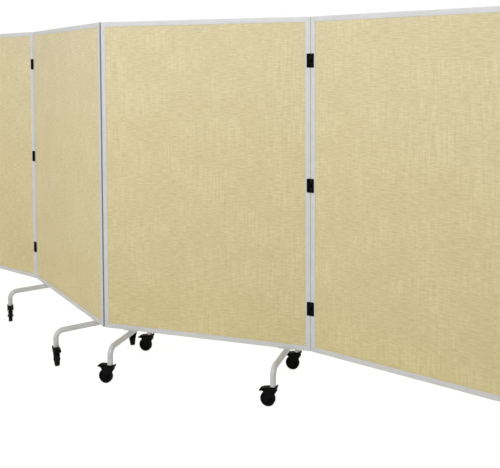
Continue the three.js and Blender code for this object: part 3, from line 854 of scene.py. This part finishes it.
def fork_shape(sizes, trail, pivot):
    """Crown, two swept cheeks, raceway with its seal, stem collar, axle bolt and pivot pin."""
    axle, edge = sizes.wheel_radius, sizes.edge_round
    inside = sizes.wheel_width / 2 + sizes.wheel_gap
    outside = inside + sizes.cheek
    under, crown, front, back, boss = 0.085, 0.089, 0.019, 0.038, 0.0095
    cheek = np.concatenate([
        [(front, crown - 0.0005), (-back, crown - 0.0005), (-back, under - 0.004)],
        rounded([(-back, under - 0.004, 0), (-trail - boss - 0.001, 0.062, 0.016), (-trail - boss, axle, 0),
                 (-back, axle, 0)])[1:6],
        arc(boss, (-trail, axle), 180, 328, 14),
        [(-0.006, 0.048), (0.002, 0.0555), (0.0085, 0.064), (0.0140, 0.0725), (front, under - 0.006)],
    ])
    nose = front + 0.002
    crown_outline = rounded([(-back, -outside, 0.002), (nose, -outside, 0.014), (nose, outside, 0.014),
                             (-back, outside, 0.002)], 8)
    seal, race, collar, stem = 0.0162, 0.0170, 0.0130, 0.0055
    raceway = lathe(np.concatenate([
        [(0.0165, crown - 0.0002), (race, crown + 0.0006), (race, crown + 0.0024), (seal, crown + 0.0028),
         (seal, crown + 0.0034), (race, crown + 0.0038)],
        arc(0.003, (0.0140, crown + 0.006), 0, 90),
        [(0.0131, crown + 0.009), (collar, crown + 0.0094), (collar, 0.1060), (0.0124, 0.1066),
         (stem, 0.1066), (stem, 0.130)],
    ]))
    hexagon = 0.0068 * np.column_stack([np.cos(around(6)), np.sin(around(6))])
    bolt = plate(hexagon, 0.0, 0.0024, 0.0004, 2)
    washer = lathe([(0.0082, -0.0002), (0.0086, 0.0002), (0.0086, 0.0007), (0.0082, 0.0010)])
    bolts = [on_side(part, sign * outside, sign) for sign in (-1, 1) for part in (bolt, washer)]
    axle_bar = on_side(lathe([(0.004, 0.0), (0.004, 2 * inside)]), -inside, 1)
    end = outside + sizes.brake_gap + sizes.cheek
    rivet = lathe([(0.0028, 0.0), (0.0030, 0.0002), (0.0030, 2 * end - 0.0004), (0.0024, 2 * end)], 24)
    return merge(*slab_pair(cheek, inside, outside, edge), plate(crown_outline, under, crown, edge), raceway,
                 *[moved(part, (-trail, 0, axle)) for part in (*bolts, axle_bar)],
                 moved(on_side(rivet, -end, 1), (pivot[0], 0, pivot[1])))


def brake_shape(sizes, sole):
    """The rocker, released: two arms, the hood and pedal across them, grip ridges, tab and shoe."""
    inside = sizes.wheel_width / 2 + sizes.wheel_gap + sizes.cheek + sizes.brake_gap
    outside, edge, half = inside + sizes.cheek, sizes.edge_round, sizes.wheel_width / 2 - 0.002
    hood_top = [(-0.0540, 0.1050, 0.0100), (-0.0720, 0.0980, 0.0012)]
    tab_side, tab_top = (0.0270, 0.1020), (0.0250, 0.1070, 0.0012)
    arm = rounded([
        (-0.0700, 0.0930, 0.0008), (-0.0520, 0.0930, 0.0070), (-0.0450, 0.0790, 0.0040),
        (0.0150, 0.0790, 0.0070), (*tab_side, 0.0030), tab_top, (0.0210, 0.1060, 0.0012),
        (0.0130, 0.0985, 0.0060), (-0.0040, 0.0985, 0.0060), (-0.0140, 0.1050, 0.0030), *hood_top,
    ], 7)
    hood = rounded([(-0.0140, 0.1020, 0.0008), (-0.0140, 0.1050, 0.0010), *hood_top,
                    (-0.0700, 0.0930, 0.0010), (-0.0560, 0.1020, 0.0080)], 7)
    tab = rounded([(0.0200, 0.0920, 0.0006), (0.0230, 0.0920, 0.0006), (*tab_side, 0.0020), tab_top,
                   (0.0210, 0.1060, 0.0010)])
    across = [slab(outline, -outside, outside, edge) for outline in (hood, tab)]
    shoe_top = [(sole[1][0], 0.1022), (sole[0][0], 0.1022)]
    shoe = slab(np.array([*sole, *shoe_top]), -half, half, 0.0006)
    ridge = rounded([(-0.0007, -0.0006, 0), (0.0007, -0.0006, 0), (0.0005, 0.0006, 0.0003),
                     (-0.0005, 0.0006, 0.0003)], 3)
    bar = slab(ridge, -outside + 0.003, outside - 0.003, 0.0003, 1)
    brow, slope = np.array([-0.0585, 0.0, 0.1040]), unit([-0.0180, 0.0, -0.0070])
    ridges = [moved(bar, brow + slope * along) for along in np.linspace(0, 0.012, 5)]
    return merge(*slab_pair(arm, inside, outside, edge), *across, shoe, *ridges)


def sole_points(sizes, trail, pivot, travel):
    """The shoe's two sole corners, released: points of the locked sole, a hair off the tread at 124
    and 112 degrees about the axle, turned back about the pivot by the brake's travel."""
    locked = arc(sizes.wheel_radius + sizes.brake_gap, (-trail, sizes.wheel_radius), 124, 112, 2)
    cos, sin = math.cos(travel), math.sin(travel)
    return (locked - pivot) @ np.array([[cos, -sin], [sin, cos]]) + pivot


def make_caster(name, sizes):
    """The fork, the wheel and the brake of a caster. The brake is drawn released; where it rests
    locked, it is turned by its travel."""
    place = caster_place(name)
    origin, axes = place
    pedal = joints[f"pedal_{name}"]
    trail = np.linalg.norm((joint_point(f"roll_{name}") - origin)[:2])
    to_pivot = joint_point(f"pedal_{name}") - origin
    pivot = np.array([to_pivot @ axes[0], to_pivot[2]])
    piece(f"swivel_fork_{name}", fork_shape(sizes, trail, pivot), place, f"caster_{name}",
          "caster_black", [f"fork_{name}"])
    piece(f"rubber_wheel_{name}", wheel_shape(sizes, trail), place, f"wheel_{name}", "tread",
          [f"wheel_{name}"])
    released, pressed = np.radians(pedal["range_deg"])
    travel = pressed - released
    shape = brake_shape(sizes, sole_points(sizes, trail, pivot, travel))
    if released < 0:
        shape = spun(shape, np.array([-travel]), pivot)
    piece(f"brake_rocker_{name}", shape, place, f"brake_{name}", "caster_black", [f"brake_{name}"])


# ---- Stage ----


def seen_rays(tree):
    """1 for what the camera sees, straight, in a mirror or through glass."""
    path = put_node(tree, "ShaderNodeLightPath").outputs
    seen = maths(tree, "MAXIMUM", path["Is Camera Ray"], path["Is Glossy Ray"])
    return maths(tree, "MAXIMUM", seen, path["Is Transmission Ray"])


def mixed_shader(tree, share, first, second):
    inputs = {0: share, 1: first.outputs[0], 2: second.outputs[0]}
    return put_node(tree, "ShaderNodeMixShader", inputs).outputs[0]


def make_world(stage):
    """White where it is seen, and a soft sky that is cooler above and warmer below for the light."""
    world = bpy.data.worlds.new("studio")
    bpy.context.scene.world = world
    world.use_nodes = True
    tree = world.node_tree
    tree.nodes.clear()
    height = height_of(tree, put_node(tree, "ShaderNodeTexCoord").outputs["Generated"])
    tint = mixed(tree, spread(tree, height, -0.6, 0.7), (1.0, 0.93, 0.84, 1), (0.97, 0.99, 1.0, 1))
    sky = put_node(tree, "ShaderNodeBackground", {"Color": tint, "Strength": stage.sky})
    white = put_node(tree, "ShaderNodeBackground", {"Color": WHITE, "Strength": 1.0})
    put_node(tree, "ShaderNodeOutputWorld", {"Surface": mixed_shader(tree, seen_rays(tree), sky, white)})


def make_floor(stage):
    """A wide pale floor that keeps a faint shadow and shows nearly white, and white far away."""
    size = 14.0
    mesh = bpy.data.meshes.new("floor")
    corners = [(-size, -size, 0), (size, -size, 0), (size, size, 0), (-size, size, 0)]
    mesh.from_pydata(corners, [], [(0, 1, 2, 3)])
    made, tree, surface = new_material("pale floor")
    feed(surface, {"Base Color": rgba(stage.floor), "Roughness": 0.9, "Specular IOR Level": 0.1})
    glow = put_node(tree, "ShaderNodeEmission", {"Color": WHITE, "Strength": 1.14})
    away = put_node(tree, "ShaderNodeVectorMath", {0: object_place(tree)}, operation="LENGTH")
    fade = spread(tree, away.outputs["Value"], 2.5, 6.0, 0.78, 1.0)
    share = maths(tree, "MULTIPLY", seen_rays(tree), fade)
    feed(tree.nodes["Material Output"], {"Surface": mixed_shader(tree, share, surface, glow)})
    mesh.materials.append(made)
    add_object("floor", mesh)


def make_lamp(name, watts):
    """A rectangle of light that faces its target."""
    place, target, size, tint = LAMPS[name]
    lamp = bpy.data.lights.new(name, "AREA")
    lamp.shape, lamp.size, lamp.size_y = "RECTANGLE", *size
    lamp.energy, lamp.color = watts, tint
    made = add_object(name, lamp)
    made.location = place
    x, y, z = np.subtract(target, place)
    made.rotation_euler = (math.pi / 2 + math.atan2(z, math.hypot(x, y)), 0.0, math.atan2(-x, y))


def make_camera(stage):
    """A camera at standing height, its picture shifted down as in a view with upright verticals."""
    camera = bpy.data.cameras.new("camera")
    camera.lens, camera.sensor_width, camera.shift_y = stage.lens, 36.0, -stage.drop
    camera.clip_start, camera.clip_end = 0.05, 60.0
    made = add_object("camera", camera)
    made.location = stage.eye
    heading, tilt, roll = stage.turn
    turn = Matrix.Rotation(heading, 3, "Z") @ Matrix.Rotation(math.pi / 2 - tilt, 3, "X")
    made.rotation_euler = (turn @ Matrix.Rotation(roll, 3, "Z")).to_euler()
    bpy.context.scene.camera = made


# ---- Operators ----


class PARTITION_OT_materials(bpy.types.Operator):
    """Makes the fabric, paints, moulding and tread"""

    bl_idname = "partition.materials"
    bl_label = "Materials"

    def execute(self, context):
        materials.update(make_materials(context.scene.partition_finish))
        return {"FINISHED"}


class PARTITION_OT_panels(bpy.types.Operator):
    """Builds the four fabric boards and their channel frames"""

    bl_idname = "partition.panels"
    bl_label = "Panels"

    def execute(self, context):
        for number in PANELS:
            make_panel(number, context.scene.partition_panel)
        return {"FINISHED"}


class PARTITION_OT_hinges(bpy.types.Operator):
    """Builds the leaves of the nine hinges"""

    bl_idname = "partition.hinges"
    bl_label = "Hinges"

    def execute(self, context):
        sizes = context.scene.partition_hinge
        for fold, (pin_panel, socket_panel, on_back) in FOLDS.items():
            for level in LEVELS:
                make_hinge_leaf(fold, level, "pin_leaf", pin_panel, -1, on_back, sizes)
                make_hinge_leaf(fold, level, "socket_leaf", socket_panel, 1, on_back, sizes)
        return {"FINISHED"}


class PARTITION_OT_legs(bpy.types.Operator):
    """Builds the four bent-tube legs"""

    bl_idname = "partition.legs"
    bl_label = "Legs"

    def execute(self, context):
        for name, panel in LEGS.items():
            make_leg(name, panel, context.scene.partition_leg)
        return {"FINISHED"}


class PARTITION_OT_casters(bpy.types.Operator):
    """Builds the eight braked swivel casters"""

    bl_idname = "partition.casters"
    bl_label = "Casters"

    def execute(self, context):
        for name in CASTERS:
            make_caster(name, context.scene.partition_caster)
        return {"FINISHED"}


class PARTITION_OT_stage(bpy.types.Operator):
    """Sets the pale floor, the studio light and the camera"""

    bl_idname = "partition.stage"
    bl_label = "Stage"

    def execute(self, context):
        stage = context.scene.partition_stage
        context.scene.view_settings.view_transform = "Standard"
        make_world(stage)
        make_floor(stage)
        for name in LAMPS:
            make_lamp(name, getattr(stage, f"{name}_watts"))
        make_camera(stage)
        return {"FINISHED"}


STEPS = (
    PARTITION_OT_materials, PARTITION_OT_panels, PARTITION_OT_hinges,
    PARTITION_OT_legs, PARTITION_OT_casters, PARTITION_OT_stage,
)


class PARTITION_PT_sidebar(bpy.types.Panel):
    """Lists the steps that build the screen"""

    bl_label = "Rolling Partition"
    bl_space_type = "VIEW_3D"
    bl_region_type = "UI"
    bl_category = "Partition"

    def draw(self, context):
        for step in STEPS:
            self.layout.operator(step.bl_idname)


CLASSES = (*SETTINGS.values(), *STEPS, PARTITION_PT_sidebar)


def register():
    for kind in CLASSES:
        bpy.utils.register_class(kind)
    for name, kind in SETTINGS.items():
        setattr(bpy.types.Scene, name, PointerProperty(type=kind))


def unregister():
    for name in SETTINGS:
        delattr(bpy.types.Scene, name)
    for kind in reversed(CLASSES):
        bpy.utils.unregister_class(kind)


def main():
    register()
    for step in STEPS:
        getattr(bpy.ops.partition, step.bl_idname.split(".")[1])()


if __name__ == "__main__":
    main()
